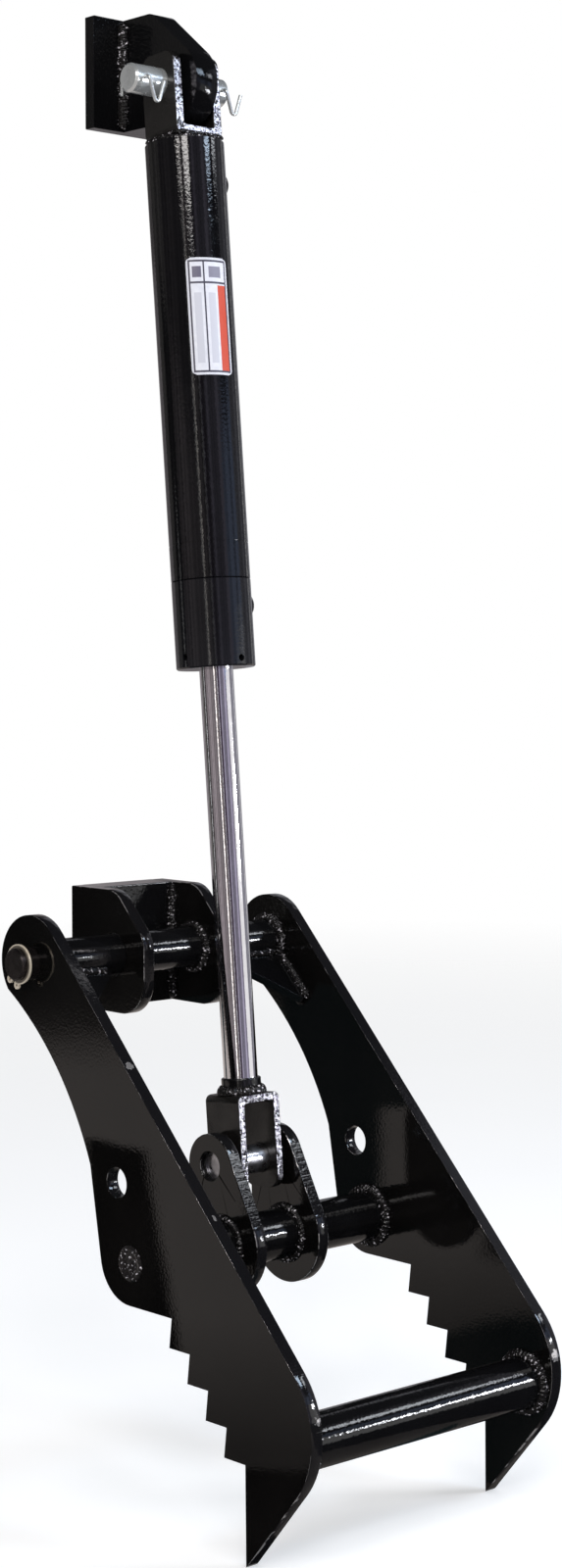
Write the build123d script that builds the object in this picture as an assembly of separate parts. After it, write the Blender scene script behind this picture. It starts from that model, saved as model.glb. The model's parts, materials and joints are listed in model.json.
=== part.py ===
from build123d import *
import math
import os

os.makedirs("parts", exist_ok=True)

# Frame: origin in the middle of the weld face behind the lower bracket.
# +X runs along the pivot pin to the machine's right, +Y into the stick, +Z up the stick.

# Fits and gaps
running_gap = 0.05
pin_gap = 0.03
side_gap = 0.3
bore_gap = 0.04

# Lower bracket
lower_face_to_pivot = 60.0
pivot_below_centre = 3.0
bracket_height = 110.0
cheek_thickness = 12.0
cheek_gap = 82.0
cheek_reach = 44.0
cheek_slope_back = 40.0
cheek_slope_drop = 42.0
cheek_top_radius = 26.0
cheek_nose_radius = 22.0
cheek_bottom_radius = 32.0
base_block_depth = 30.0
sleeve_od = 38.0
bushing_wall = 2.2
bushing_length = 30.0

# Pivot pin and its rings
pivot_pin_d = 28.6
ring_to_pin_end = 7.0
pin_play = 11.0
pin_chamfer = 1.6
ring_groove_d = 26.8
ring_groove_w = 1.9
ring_thickness = 1.75
ring_od = 35.0
ring_lug_r = 3.6
ring_lug_hole = 2.6

# Thumb side plates
thumb_width = 290.0
plate_thickness = 12.0
pivot_radius = 42.0
arm_angle = 44.0
plate_tip = (-285.0, -461.0)
toe_angle = 40.0
toe_radius = 72.0
tooth_start = (-192.0, -277.0)
tooth_step = (-23.0, -25.2)
tooth_riser_lean = 3.0
tooth_count = 4
heel_corner = (-104.0, -277.0)
heel_radius = 27.0
heel_top = (-84.0, -165.0)
back_mid = (-38.0, -88.0)
back_start = (33.0, -26.0)
access_hole_d = 26.5

# Cross tubes and pivot bosses
cross_tube_od = 44.5
cross_tube_wall = 6.3
mid_tube_at = (-138.0, -241.0)
tip_tube_at = (-330.0, -354.0)
boss_od = 38.0
gusset_angle = 225.0
gusset_reach = 75.0
gusset_inner_at = 70.0
gusset_toe = 5.0
gusset_thickness = 8.0

# Ears that carry the rod end
ear_gap = 60.0
ear_thickness = 12.0
ear_tip_radius = 28.0
ear_root_radius = 44.0
rod_pin_at = (-120.0, -175.0)
cylinder_pin_d = 25.4
rod_pin_recess = 7.0
inner_ring_width = 1.6
inner_ring_wall = 2.4
inner_groove_depth = 0.9

# Hydraulic cylinder, measured along its axis from the upper pin
upper_pin_at = (-34.0, 770.0)
base_clevis_width = 52.0
base_clevis_wall = 9.0
base_clevis_reach = 48.5
rod_clevis_width = 48.0
rod_clevis_wall = 7.5
rod_clevis_reach = 59.0
clevis_depth = 44.0
clevis_end = 26.0
clevis_end_radius = 12.0
clevis_bend_outer = 6.0
clevis_bend_inner = 2.0
cap_neck_step = 6.0
cap_neck_length = 4.0
cap_neck_chamfer = 1.5
cap_plug_length = 12.0
barrel_od = 70.0
barrel_wall = 5.0
barrel_end_at = 437.5
ring_line_back = 32.0
gland_length = 78.0
gland_spigot = 36.0
gland_pin_hole_d = 6.0
gland_pin_hole_inset = 10.0
rod_to_bore = 0.5
rod_shoulder = 3.0
piston_length = 36.0
piston_nut_length = 18.0
piston_nut_to_nose = 1.5
nut_corner_room = 1.2
rod_collar_wall = 2.5
rod_collar_length = 14.0
rod_collar_lip = 1.5
seal_width = 7.0
seal_depth = 4.0
rod_seal_back = 20.0
rod_wear_in = 30.0
wiper_width = 6.0
wear_ring_width = 8.0
wear_ring_depth = 2.0
port_turn = 21.0
port_boss_d = 28.0
port_boss_height = 18.0
port_bore_d = 17.0
port_depth = 14.0
port_seat_depth = 15.0
gallery_d = 6.0
port_way_d = 8.0
base_port_at = 79.0
gland_port_in = 20.5

# Upper bracket
upper_base_gap = 66.0
upper_base_thickness = 12.0
upper_base_width = 92.0
upper_base_up = 67.0
upper_base_down = 32.0
lug_thickness = 24.0
lug_nose_radius = 36.0
lug_top_flat = 40.0
lug_top_radius = 14.0
upper_pin_left = 60.0
upper_pin_right = 46.0
clip_wire_d = 3.2
clip_hole_inset = 9.0
clip_hole_d = 3.6
clip_bend = 3.0
clip_lean = 18.5
clip_half_width = 9.0
clip_tail = 12.0

# Derived places, all in millimetres
pivot_y = -lower_face_to_pivot
pivot_z = -pivot_below_centre
half_width = thumb_width / 2
half_cheeks = cheek_gap / 2
boss_end = half_cheeks + cheek_thickness + side_gap
pivot_bore = pivot_pin_d + 2 * pin_gap
sleeve_bore = pivot_pin_d + 2 * running_gap + 2 * bushing_wall
barrel_bore = barrel_od - 2 * barrel_wall
cap_neck_d = barrel_od - 2 * cap_neck_step
rod_d = barrel_bore * rod_to_bore
rod_nose_d = rod_d - 2 * rod_shoulder
rod_collar_d = rod_d + 2 * rod_collar_wall
piston_nut_af = rod_nose_d * piston_nut_to_nose
piston_nut_recess_d = piston_nut_af / math.cos(math.radians(30)) + 2 * nut_corner_room
port_root = barrel_od / 2 - port_seat_depth
ring_line_at = barrel_end_at - ring_line_back
gland_end_at = barrel_end_at + gland_length
gland_pin_hole_at = gland_end_at - gland_pin_hole_inset
gland_port_at = barrel_end_at + gland_port_in


def place(at):
    """Point of the side view, given from the pivot, in the part's own frame."""
    return (pivot_y + at[0], pivot_z + at[1])


rod_pin = place(rod_pin_at)
upper_pin = place(upper_pin_at)
mid_tube_axis = place(mid_tube_at)
tip_tube_axis = place(tip_tube_at)
ram_run_y = rod_pin[0] - upper_pin[0]
ram_run_z = rod_pin[1] - upper_pin[1]
ram_length = math.hypot(ram_run_y, ram_run_z)
ram_direction = (0, ram_run_y / ram_length, ram_run_z / ram_length)


def side_slab(face, x_from, x_to):
    """Side-view face pulled from one X to another."""
    return extrude(Plane.YZ.offset(x_from) * face, amount=x_to - x_from)


def cross_bar(axis, diameter, x_from, x_to):
    """Round bar along X through a point of the side view."""
    return side_slab(Pos(axis[0], axis[1]) * Circle(diameter / 2), x_from, x_to)


def cross_ring(axis, outer, inner, x_from, x_to):
    ring = Circle(outer / 2) - Circle(inner / 2)
    return side_slab(Pos(axis[0], axis[1]) * ring, x_from, x_to)


def polygon_face(points):
    return make_face(Polyline(*points, close=True))


def ram_plane(along=0.0):
    """Plane square to the cylinder, its normal running from the upper pin to the rod pin."""
    origin = (
        0,
        upper_pin[0] + ram_direction[1] * along,
        upper_pin[1] + ram_direction[2] * along,
    )
    return Plane(origin=origin, x_dir=(1, 0, 0), z_dir=ram_direction)


def ram_bar(diameter, start, end):
    return extrude(ram_plane(start) * Circle(diameter / 2), amount=end - start)


def ram_ring(outer, inner, start, end):
    ring = Circle(outer / 2) - Circle(inner / 2)
    return extrude(ram_plane(start) * ring, amount=end - start)


def closed_face(pieces):
    """Face inside a closed chain of lines and arcs."""
    chain = pieces[0]
    for piece in pieces[1:]:
        chain = chain + piece
    return make_face(chain)


def corner_near(face, point):
    target = Vector(point[0], point[1], 0)
    return min(face.vertices(), key=lambda v: (v.center() - target).length)


def save(shape, name):
    shape.label = name
    export_step(shape, f"parts/{name}.step")


# Lower bracket: two cheeks, the block between them, the pivot sleeve and its bushings
cheek_top = bracket_height / 2
cheek_bottom = -bracket_height / 2
cheek_nose_y = pivot_y - cheek_reach
cheek_face = polygon_face(
    [
        (0, cheek_top),
        (cheek_nose_y + cheek_slope_back, cheek_top),
        (cheek_nose_y, cheek_top - cheek_slope_drop),
        (cheek_nose_y, cheek_bottom),
        (0, cheek_bottom),
    ]
)
top_corner = corner_near(cheek_face, (cheek_nose_y + cheek_slope_back, cheek_top))
cheek_face = fillet(top_corner, cheek_top_radius)
nose_corner = corner_near(cheek_face, (cheek_nose_y, cheek_top - cheek_slope_drop))
cheek_face = fillet(nose_corner, cheek_nose_radius)
bottom_corner = corner_near(cheek_face, (cheek_nose_y, cheek_bottom))
cheek_face = fillet(bottom_corner, cheek_bottom_radius)
cheek_face = cheek_face - Pos(pivot_y, pivot_z) * Circle(sleeve_od / 2)
cheek_outer = half_cheeks + cheek_thickness
save(side_slab(cheek_face, -cheek_outer, -half_cheeks), "lower_cheek_left")
save(side_slab(cheek_face, half_cheeks, cheek_outer), "lower_cheek_right")

block_face = polygon_face(
    [
        (0, cheek_top),
        (-base_block_depth, cheek_top),
        (-base_block_depth, cheek_bottom),
        (0, cheek_bottom),
    ]
)
save(side_slab(block_face, -half_cheeks, half_cheeks), "lower_base_block")

pivot_axis = (pivot_y, pivot_z)
save(cross_ring(pivot_axis, sleeve_od, sleeve_bore, -cheek_outer, cheek_outer), "pivot_sleeve")
bushings = []
for side in (-1, 1):
    start = min(side * cheek_outer, side * (cheek_outer - bushing_length))
    bush_bore = pivot_pin_d + 2 * running_gap
    bushings.append(cross_ring(pivot_axis, sleeve_bore, bush_bore, start, start + bushing_length))
save(Compound(children=bushings), "pivot_bushings")

# Pivot pin with a groove near each end, slid to the left by its play
left_groove_end = -(half_width + pin_play)
right_groove_start = half_width + side_gap
pin_left_end = left_groove_end - ring_to_pin_end
pin_right_end = right_groove_start + ring_to_pin_end
groove_starts = (left_groove_end - ring_groove_w, right_groove_start)
pivot_pin = cross_bar(pivot_axis, pivot_pin_d, pin_left_end, pin_right_end)
pivot_pin = chamfer(pivot_pin.edges().filter_by(GeomType.CIRCLE), pin_chamfer)
for start in groove_starts:
    groove = cross_ring(pivot_axis, pivot_pin_d + 4, ring_groove_d, start, start + ring_groove_w)
    pivot_pin = pivot_pin - groove
save(pivot_pin, "pivot_pin")

# Open retaining rings, their lugs hanging down and a little forward
ring_turn = 25.0
ring_face = Circle(ring_od / 2) - Circle(ring_groove_d / 2)
lug_centre_r = ring_od / 2 + 1.2
lug_spread = 17.0
for lug_lean in (-lug_spread, lug_spread):
    angle = math.radians(-90 + lug_lean)
    lug_at = Pos(lug_centre_r * math.cos(angle), lug_centre_r * math.sin(angle))
    ring_face = ring_face + (lug_at * Circle(ring_lug_r))
    ring_face = ring_face - (lug_at * Circle(ring_lug_hole / 2))
ring_face = ring_face - Pos(0, -ring_od / 2) * Rectangle(3.0, ring_od)
ring_face = ring_face - Circle(ring_groove_d / 2)
snap_rings = []
for groove_start in groove_starts:
    start = groove_start + (ring_groove_w - ring_thickness) / 2
    turned = Pos(pivot_y, pivot_z) * Rot(0, 0, ring_turn) * ring_face
    snap_rings.append(side_slab(turned, start, start + ring_thickness))
save(Compound(children=snap_rings), "pivot_snap_rings")

# Thumb side plates: straight front edge, round toe, four teeth, heel and hollow back edge
lean = math.radians(arm_angle)
front_normal = (-math.cos(lean), math.sin(lean))
front_down = (-math.sin(lean), -math.cos(lean))
front_start = (pivot_radius * front_normal[0], pivot_radius * front_normal[1])
toe_lean = math.radians(toe_angle)
toe_up = (-math.sin(toe_lean), math.cos(toe_lean))


def crossing(start_a, way_a, start_b, way_b):
    """Where two straight lines of the side view meet."""
    cross = way_a[0] * way_b[1] - way_a[1] * way_b[0]
    gap_y = start_b[0] - start_a[0]
    gap_z = start_b[1] - start_a[1]
    reach = (gap_y * way_b[1] - gap_z * way_b[0]) / cross
    return (start_a[0] + reach * way_a[0], start_a[1] + reach * way_a[1])


toe_corner = crossing(front_start, front_down, plate_tip, toe_up)
half_turn = math.acos(-(front_down[0] * toe_up[0] + front_down[1] * toe_up[1])) / 2
toe_run = toe_radius * math.tan(half_turn)
toe_start = (toe_corner[0] - toe_run * front_down[0], toe_corner[1] - toe_run * front_down[1])
toe_end = (toe_corner[0] - toe_run * toe_up[0], toe_corner[1] - toe_run * toe_up[1])

tooth_points = [tooth_start]
for step in range(tooth_count):
    root = (
        tooth_start[0] + step * tooth_step[0],
        tooth_start[1] + step * tooth_step[1],
    )
    crest = (root[0] + tooth_riser_lean, root[1] + tooth_step[1])
    next_root = (root[0] + tooth_step[0], root[1] + tooth_step[1])
    tooth_points.append(crest)
    tooth_points.append(next_root)

heel_side = (heel_top[0] - heel_corner[0], heel_top[1] - heel_corner[1])
heel_side_length = math.hypot(heel_side[0], heel_side[1])
heel_up = (heel_side[0] / heel_side_length, heel_side[1] / heel_side_length)
heel_turn = math.acos(heel_up[0])
heel_run = heel_radius * math.tan((math.pi - heel_turn) / 2)
heel_arc_start = (heel_corner[0] - heel_run, heel_corner[1])
heel_arc_end = (heel_corner[0] + heel_run * heel_up[0], heel_corner[1] + heel_run * heel_up[1])

pivot_top = (
    pivot_radius * math.cos(math.radians(60)),
    pivot_radius * math.sin(math.radians(60)),
)
outline = [Line(front_start, toe_start)]
outline.append(TangentArc(toe_start, toe_end, tangent=front_down))
outline.append(Line(toe_end, plate_tip))
outline.append(Polyline(plate_tip, *reversed(tooth_points)))
outline.append(Line(tooth_start, heel_arc_start))
outline.append(TangentArc(heel_arc_start, heel_arc_end, tangent=(1, 0)))
outline.append(Line(heel_arc_end, heel_top))
outline.append(ThreePointArc(heel_top, back_mid, back_start))
outline.append(ThreePointArc(back_start, pivot_top, front_start))
plate_face = closed_face(outline)
plate_face = plate_face - Circle(pivot_bore / 2)
plate_face = plate_face - Pos(*rod_pin_at) * Circle(access_hole_d / 2)
plate_face = Pos(pivot_y, pivot_z) * plate_face
plate_inner = half_width - plate_thickness
save(side_slab(plate_face, -half_width, -plate_inner), "side_plate_left")
save(side_slab(plate_face, plate_inner, half_width), "side_plate_right")

# Cross tubes, open at both ends and welded between the plates
mid_bore = cross_tube_od - 2 * cross_tube_wall
save(cross_ring(mid_tube_axis, cross_tube_od, mid_bore, -plate_inner, plate_inner), "mid_tube")
save(cross_ring(tip_tube_axis, cross_tube_od, mid_bore, -plate_inner, plate_inner), "tip_tube")
for side, name in ((-1, "pivot_boss_left"), (1, "pivot_boss_right")):
    start = min(side * boss_end, side * plate_inner)
    boss = cross_ring(pivot_axis, boss_od, pivot_bore, start, start + plate_inner - boss_end)
    save(boss, name)

# Triangular gussets between each pivot boss and its side plate
gusset_lean = math.radians(gusset_angle)
gusset_way = (0, math.cos(gusset_lean), math.sin(gusset_lean))
for side, name in ((-1, "boss_gusset_left"), (1, "boss_gusset_right")):
    outward = Vector(side, 0, 0)
    gusset_normal = outward.cross(Vector(gusset_way))
    gusset_plane = Plane(origin=(0, pivot_y, pivot_z), x_dir=outward, z_dir=gusset_normal)
    gusset_face = polygon_face(
        [
            (plate_inner, 0),
            (plate_inner, gusset_reach),
            (plate_inner - gusset_toe, gusset_reach),
            (gusset_inner_at, boss_od / 2 + gusset_toe),
            (gusset_inner_at, 0),
        ]
    )
    gusset = extrude(gusset_plane * gusset_face, amount=gusset_thickness / 2, both=True)
    save(gusset - cross_bar(pivot_axis, boss_od, -plate_inner, plate_inner), name)

# Ears: teardrop plates threaded on the mid tube
ear_span_y = rod_pin_at[0] - mid_tube_at[0]
ear_span_z = rod_pin_at[1] - mid_tube_at[1]
ear_span = math.hypot(ear_span_y, ear_span_z)
ear_lean = math.atan2(ear_span_z, ear_span_y)
tangent_turn = math.acos((ear_root_radius - ear_tip_radius) / ear_span)
tip_points = []
root_points = []
for sign in (-1, 1):
    angle = ear_lean + sign * tangent_turn
    tip_points.append(
        (
            rod_pin_at[0] + ear_tip_radius * math.cos(angle),
            rod_pin_at[1] + ear_tip_radius * math.sin(angle),
        )
    )
    root_points.append(
        (
            mid_tube_at[0] + ear_root_radius * math.cos(angle),
            mid_tube_at[1] + ear_root_radius * math.sin(angle),
        )
    )
tip_far = (
    rod_pin_at[0] + ear_tip_radius * math.cos(ear_lean),
    rod_pin_at[1] + ear_tip_radius * math.sin(ear_lean),
)
root_far = (
    mid_tube_at[0] - ear_root_radius * math.cos(ear_lean),
    mid_tube_at[1] - ear_root_radius * math.sin(ear_lean),
)
ear_face = closed_face(
    [
        Line(root_points[0], tip_points[0]),
        ThreePointArc(tip_points[0], tip_far, tip_points[1]),
        Line(tip_points[1], root_points[1]),
        ThreePointArc(root_points[1], root_far, root_points[0]),
    ]
)
ear_bore = cylinder_pin_d + 2 * pin_gap
ear_face = ear_face - Pos(*rod_pin_at) * Circle(ear_bore / 2)
ear_face = ear_face - Pos(*mid_tube_at) * Circle(cross_tube_od / 2)
ear_face = Pos(pivot_y, pivot_z) * ear_face
half_ear_gap = ear_gap / 2
ear_outer = half_ear_gap + ear_thickness
pin_end = ear_outer - rod_pin_recess
groove_od = ear_bore + 2 * inner_groove_depth
for side, name in ((-1, "cylinder_ear_left"), (1, "cylinder_ear_right")):
    start = min(side * half_ear_gap, side * ear_outer)
    ear = side_slab(ear_face, start, start + ear_thickness)
    groove_from = min(side * pin_end, side * (pin_end + inner_ring_width))
    groove = cross_bar(rod_pin, groove_od, groove_from, groove_from + inner_ring_width)
    save(ear - groove, name)

rod_pin_bar = cross_bar(rod_pin, cylinder_pin_d, -pin_end, pin_end)
save(chamfer(rod_pin_bar.edges().filter_by(GeomType.CIRCLE), pin_chamfer), "rod_pin")

# Inner retaining rings in the ear bores, open on top
inner_ring_face = Circle(groove_od / 2) - Circle(groove_od / 2 - inner_ring_wall)
inner_ring_face = inner_ring_face - Pos(0, groove_od / 2) * Rectangle(6.0, groove_od)
inner_rings = []
for side in (-1, 1):
    start = min(side * pin_end, side * (pin_end + inner_ring_width))
    ring_at_pin = Pos(*rod_pin) * inner_ring_face
    inner_rings.append(side_slab(ring_at_pin, start, start + inner_ring_width))
save(Compound(children=inner_rings), "rod_pin_rings")


# Bent U straps: web towards the cylinder, two legs round the pin
def clevis_solid(pin_along, way, width, wall, reach):
    """Strap clevis about the pin; way is +1 when its web lies further along the cylinder."""
    web_at = way * reach
    end_at = -way * clevis_end
    low = min(web_at, end_at)
    length = abs(web_at - end_at)
    base = ram_plane(pin_along + low)
    body = extrude(base * Rectangle(width, clevis_depth), amount=length)
    bends = body.edges().filter_by(Axis((0, 0, 0), tuple(base.y_dir)))
    web_plane_at = pin_along + web_at
    web_centre = ram_plane(web_plane_at).origin
    web_bends = bends.sort_by(lambda e: (e.center() - web_centre).length)[:2]
    body = fillet(web_bends, clevis_bend_outer)
    slot_low = min(way * (reach - wall), end_at - way)
    slot_length = reach - wall + clevis_end + 1
    slot_base = ram_plane(pin_along + slot_low)
    slot_face = Rectangle(width - 2 * wall, clevis_depth + 2)
    slot = extrude(slot_base * slot_face, amount=slot_length)
    slot_edges = slot.edges().filter_by(Axis((0, 0, 0), tuple(slot_base.y_dir)))
    inner_web = ram_plane(pin_along + way * (reach - wall)).origin
    inner_bends = slot_edges.sort_by(lambda e: (e.center() - inner_web).length)[:2]
    slot = fillet(inner_bends, clevis_bend_inner)
    body = body - slot
    leg_tip = ram_plane(pin_along + end_at).origin
    across = body.edges().filter_by(Axis.X)
    tips = across.filter_by(lambda e: abs((e.center() - leg_tip).dot(base.z_dir)) < 0.01)
    body = fillet(tips, clevis_end_radius)
    pin_centre = ram_plane(pin_along).origin
    bore = cylinder_pin_d + 2 * bore_gap
    hole = cross_bar((pin_centre.Y, pin_centre.Z), bore, -width, width)
    return body - hole


# Cylinder barrel, its clevis and its base cap
base_clevis = clevis_solid(0.0, 1, base_clevis_width, base_clevis_wall, base_clevis_reach)
save(base_clevis, "base_clevis")
cap_face_at = base_clevis_reach + cap_neck_length
cap_inner_at = cap_face_at + cap_plug_length
base_cap = ram_bar(cap_neck_d, base_clevis_reach, cap_face_at)
base_cap = base_cap + ram_bar(barrel_bore, cap_face_at, cap_inner_at)
neck_edges = base_cap.edges().filter_by(GeomType.CIRCLE)
neck_start = ram_plane(base_clevis_reach).origin
neck_edge = neck_edges.sort_by(lambda e: (e.center() - neck_start).length)[0]
save(chamfer(neck_edge, cap_neck_chamfer), "base_cap")

port_direction = Vector(
    math.cos(math.radians(port_turn)),
    math.sin(math.radians(port_turn)) * -ram_direction[2],
    math.sin(math.radians(port_turn)) * ram_direction[1],
)


def port_plane(along, reach):
    origin = ram_plane(along).origin + port_direction * reach
    return Plane(origin=origin, x_dir=ram_direction, z_dir=tuple(port_direction))


def port_boss(along):
    """Round boss seated on the barrel, its threaded mouth facing outwards."""
    top = barrel_od / 2 + port_boss_height
    boss = extrude(port_plane(along, port_root) * Circle(port_boss_d / 2), amount=top - port_root)
    boss = boss - ram_bar(barrel_od, along - port_boss_d, along + port_boss_d)
    mouth = extrude(port_plane(along, top) * Circle(port_bore_d / 2), amount=-port_depth)
    way_in = extrude(port_plane(along, top) * Circle(port_way_d / 2), amount=-port_boss_height)
    return boss - mouth - way_in


def port_way(along):
    """Oil way through the wall under a port."""
    return extrude(port_plane(along, port_root) * Circle(port_way_d / 2), amount=barrel_od / 2)


barrel = ram_ring(barrel_od, barrel_bore, cap_face_at, barrel_end_at)
line = ram_ring(barrel_od + 2, barrel_od - 0.8, ring_line_at, ring_line_at + 1.2)
barrel = barrel - line - port_way(base_port_at)
save(barrel, "barrel_tube")
save(port_boss(base_port_at), "base_port_boss")

# Gland screwed into the barrel, with its seals
spigot_at = barrel_end_at - gland_spigot
gland_bore = rod_d + 2 * running_gap
gland = ram_ring(barrel_od, gland_bore, barrel_end_at, gland_end_at)
gland = gland + ram_ring(barrel_bore, gland_bore, spigot_at, barrel_end_at)
outer_rims = gland.edges().filter_by(GeomType.CIRCLE).filter_by(lambda e: e.radius > barrel_od / 2 - 1)
gland = chamfer(outer_rims, 1.2)
seal_at = barrel_end_at - rod_seal_back
wiper_at = gland_end_at - wiper_width - 2
wear_at = barrel_end_at + rod_wear_in
gland = gland - ram_bar(rod_d + 2 * seal_depth, seal_at, seal_at + seal_width)
gland = gland - ram_bar(rod_d + 2 * seal_depth, wiper_at, wiper_at + wiper_width)
gland = gland - ram_bar(rod_d + 2 * wear_ring_depth, wear_at, wear_at + wear_ring_width)
for turn in (0, 90, 180, 270):
    hole_plane = ram_plane(gland_pin_hole_at).rotated((0, 0, turn))
    across_way = hole_plane.x_dir
    hole_origin = ram_plane(gland_pin_hole_at).origin + across_way * (barrel_od / 2 + 1)
    drill = Plane(origin=hole_origin, z_dir=tuple(-across_way))
    gland = gland - extrude(drill * Circle(gland_pin_hole_d / 2), amount=8)
annulus_way_from = spigot_at - 1
gallery_radius = (rod_d / 2 + seal_depth + barrel_bore / 2) / 2
oil_gallery = ram_plane(annulus_way_from) * Pos(
    gallery_radius * math.cos(math.radians(port_turn)),
    -gallery_radius * math.sin(math.radians(port_turn)),
)
gallery_length = gland_port_at - annulus_way_from
gallery = extrude(oil_gallery * Circle(gallery_d / 2), amount=gallery_length)
gland = gland - gallery - port_way(gland_port_at)
save(gland, "gland")
save(port_boss(gland_port_at), "gland_port_boss")
seal_bore = rod_d + 2 * running_gap
save(ram_ring(rod_d + 2 * seal_depth, seal_bore, seal_at, seal_at + seal_width), "rod_seal")
save(ram_ring(rod_d + 2 * seal_depth, seal_bore, wiper_at, wiper_at + wiper_width), "rod_wiper")
rod_wear = ram_ring(rod_d + 2 * wear_ring_depth, seal_bore, wear_at, wear_at + wear_ring_width)
save(rod_wear, "rod_wear_ring")

# Rod with its clevis, collar and piston
rod_end_at = ram_length - rod_clevis_reach
piston_low = spigot_at - 1.0 - piston_length
piston_high = piston_low + piston_length
nut_recess = piston_nut_length + 0.5
rod = ram_bar(rod_d, piston_high, rod_end_at)
rod = rod + ram_bar(rod_nose_d, piston_low + 1, piston_high)
save(rod, "piston_rod")
piston_od = barrel_bore - 2 * running_gap
piston = ram_ring(piston_od, rod_nose_d, piston_low, piston_high)
piston = piston - ram_bar(piston_nut_recess_d, piston_low, piston_low + nut_recess)
piston_seal_at = piston_low + (piston_length - seal_width) / 2 + 6
piston_wear_at = piston_low + 4
piston = piston - ram_ring(
    piston_od + 2, piston_od - 2 * seal_depth, piston_seal_at, piston_seal_at + seal_width
)
piston = piston - ram_ring(
    piston_od + 2,
    piston_od - 2 * wear_ring_depth,
    piston_wear_at,
    piston_wear_at + wear_ring_width,
)
save(piston, "piston")
piston_seal = ram_ring(
    piston_od + running_gap, piston_od - 2 * seal_depth, piston_seal_at, piston_seal_at + seal_width
)
save(piston_seal, "piston_seal")
piston_wear = ram_ring(
    piston_od + running_gap,
    piston_od - 2 * wear_ring_depth,
    piston_wear_at,
    piston_wear_at + wear_ring_width,
)
save(piston_wear, "piston_wear_ring")
nut_top = piston_low + nut_recess
nut_face = RegularPolygon(piston_nut_af / 2, 6, major_radius=False) - Circle(rod_nose_d / 2)
nut = extrude(ram_plane(nut_top - piston_nut_length) * nut_face, amount=piston_nut_length)
save(nut, "piston_nut")
collar = ram_ring(rod_collar_d, rod_d, rod_end_at - rod_collar_length, rod_end_at)
collar_edges = collar.edges().filter_by(GeomType.CIRCLE)
collar_top = ram_plane(rod_end_at - rod_collar_length).origin
upper_rim = collar_edges.filter_by(lambda e: e.radius > rod_collar_d / 2 - 0.1)
upper_rim = upper_rim.sort_by(lambda e: (e.center() - collar_top).length)[0]
save(fillet(upper_rim, rod_collar_lip), "rod_collar")
rod_clevis = clevis_solid(ram_length, -1, rod_clevis_width, rod_clevis_wall, rod_clevis_reach)
save(rod_clevis, "rod_clevis")

# Upper bracket: base plate, nose lug and the pin with its wire clips
upper_y, upper_z = upper_pin
base_front = upper_y + upper_base_gap
base_back = base_front + upper_base_thickness
base_top = upper_z + upper_base_up
base_bottom = upper_z - upper_base_down
upper_face = polygon_face(
    [
        (base_front, base_bottom),
        (base_back, base_bottom),
        (base_back, base_top),
        (base_front, base_top),
    ]
)
half_base = upper_base_width / 2
upper_base = side_slab(upper_face, -half_base, half_base)
save(upper_base, "upper_base_plate")

top_corner_y = base_front - lug_top_flat
corner_y = top_corner_y - upper_y
corner_turn = math.acos(lug_nose_radius / math.hypot(corner_y, upper_base_up))
nose_up = math.atan2(upper_base_up, corner_y) + corner_turn
nose_low = -math.asin(upper_base_down / lug_nose_radius)
nose_high_point = (
    upper_y + lug_nose_radius * math.cos(nose_up),
    upper_z + lug_nose_radius * math.sin(nose_up),
)
nose_low_point = (
    upper_y + lug_nose_radius * math.cos(nose_low),
    upper_z + lug_nose_radius * math.sin(nose_low),
)
nose_front_point = (upper_y - lug_nose_radius, upper_z)
lug_face = closed_face(
    [
        Line((base_front, base_top), (top_corner_y, base_top)),
        Line((top_corner_y, base_top), nose_high_point),
        ThreePointArc(nose_high_point, nose_front_point, nose_low_point),
        Line(nose_low_point, (base_front, base_bottom)),
        Line((base_front, base_bottom), (base_front, base_top)),
    ]
)
lug_face = fillet(corner_near(lug_face, (top_corner_y, base_top)), lug_top_radius)
lug_bore = cylinder_pin_d + 2 * bore_gap
lug_face = lug_face - Pos(*upper_pin) * Circle(lug_bore / 2)
save(side_slab(lug_face, -lug_thickness / 2, lug_thickness / 2), "upper_lug")

upper_bar = cross_bar(upper_pin, cylinder_pin_d, -upper_pin_left, upper_pin_right)
upper_bar = chamfer(upper_bar.edges().filter_by(GeomType.CIRCLE), 2.0)
clip_at_left = -upper_pin_left + clip_hole_inset
clip_at_right = upper_pin_right - clip_hole_inset
for hole_x in (clip_at_left, clip_at_right):
    drill = Plane(origin=(hole_x, upper_y - cylinder_pin_d, upper_z), z_dir=(0, 1, 0))
    upper_bar = upper_bar - extrude(drill * Circle(clip_hole_d / 2), amount=2 * cylinder_pin_d)
save(upper_bar, "upper_pin")

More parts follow.
